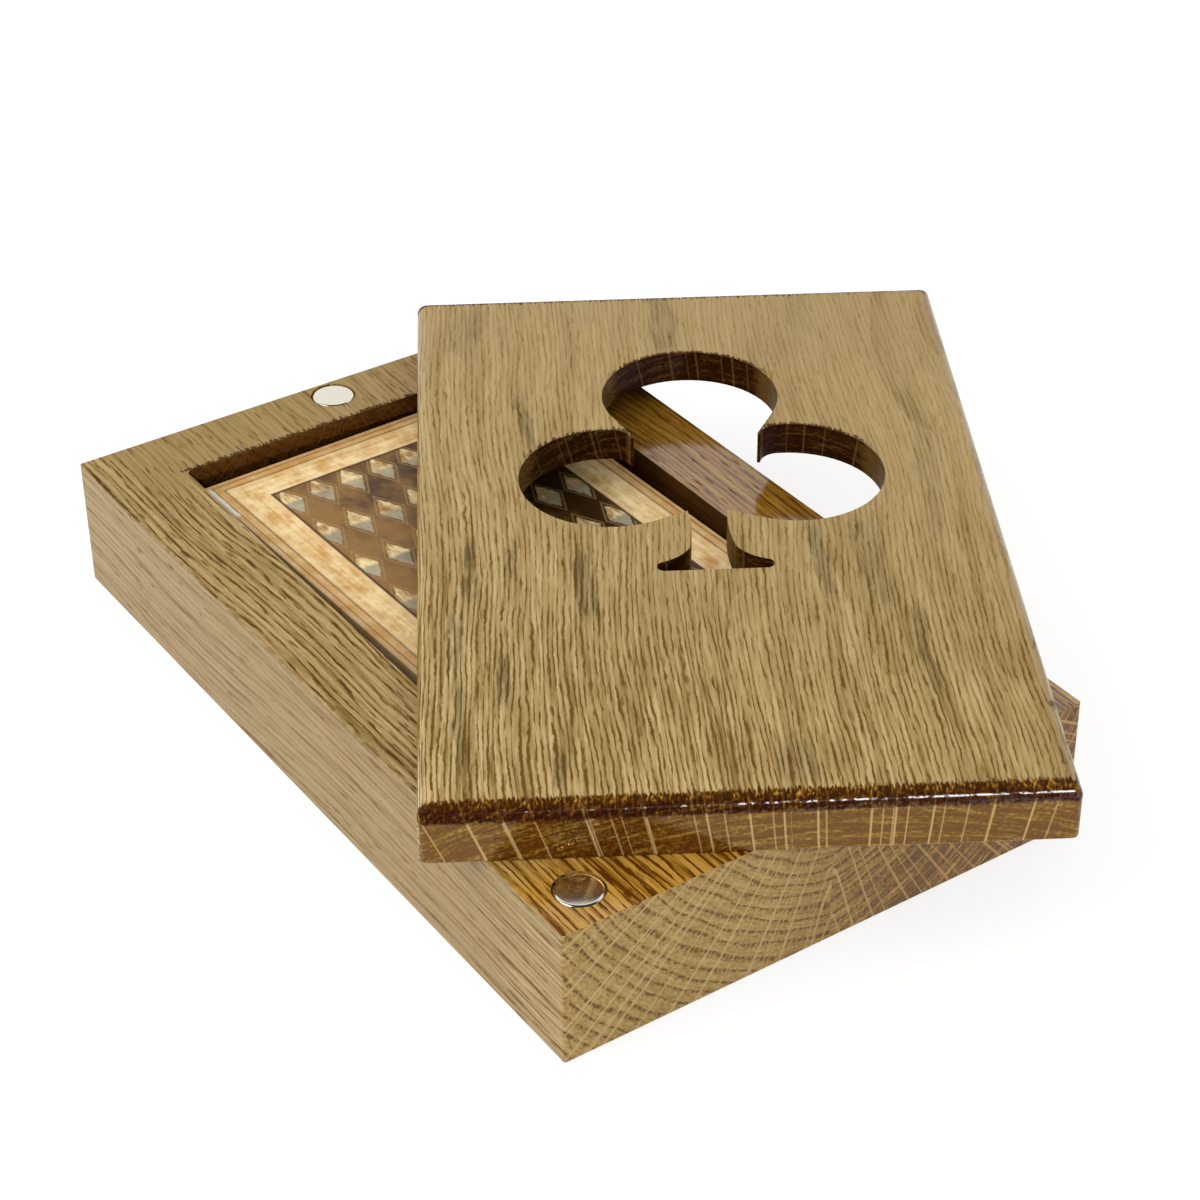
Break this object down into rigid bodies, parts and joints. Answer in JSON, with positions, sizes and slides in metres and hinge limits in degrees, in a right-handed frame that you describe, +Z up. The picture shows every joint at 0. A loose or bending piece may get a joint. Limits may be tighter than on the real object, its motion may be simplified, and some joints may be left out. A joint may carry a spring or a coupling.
{
  "type": "playing card box",
  "caption": "Solid oak playing card box with a milled pocket, a loose magnetic lid with a club cut-out laid askew, and a boxed deck inside.",
  "frame": {"origin": "middle of the oak block's underside, on the surface the box stands on", "axes": "+Z up; +Y along the block's long side, away from the two corner magnets and towards the end where the deck lies; +X across the block, to the right when looking along +Y"},
  "size_m": [0.166, 0.1858, 0.035],
  "materials": {
    "oak_block": "oiled and satin-varnished oak, grain along the box, end grain on the short faces",
    "oak_lid": "oiled and satin-varnished oak board, grain along the lid",
    "nickel_magnet": "bright nickel-plated magnet disc",
    "printed_carton": "printed and coated folding carton, satin",
    "card_stock": "coated playing card stock, white edges"
  },
  "bodies": {
    "base": {"base_block": "oak_block", "base_magnet_rear": "nickel_magnet", "base_magnet_front_left": "nickel_magnet", "base_magnet_front_right": "nickel_magnet"},
    "lid": {"lid_board": "oak_lid", "lid_magnet_rear": "nickel_magnet", "lid_magnet_front_left": "nickel_magnet", "lid_magnet_front_right": "nickel_magnet"},
    "deck": {"tuck_box": "printed_carton", "playing_cards": "card_stock"}
  },
  "joints": [
    {"name": "lid_lift", "type": "slide", "parent": "base", "child": "lid", "axis": [0, 0, 1], "range_m": [0, 0.06]},
    {"name": "deck_slide", "type": "slide", "parent": "base", "child": "deck", "axis": [0, 1, 0], "range_m": [-0.0389, 0]}
  ]
}
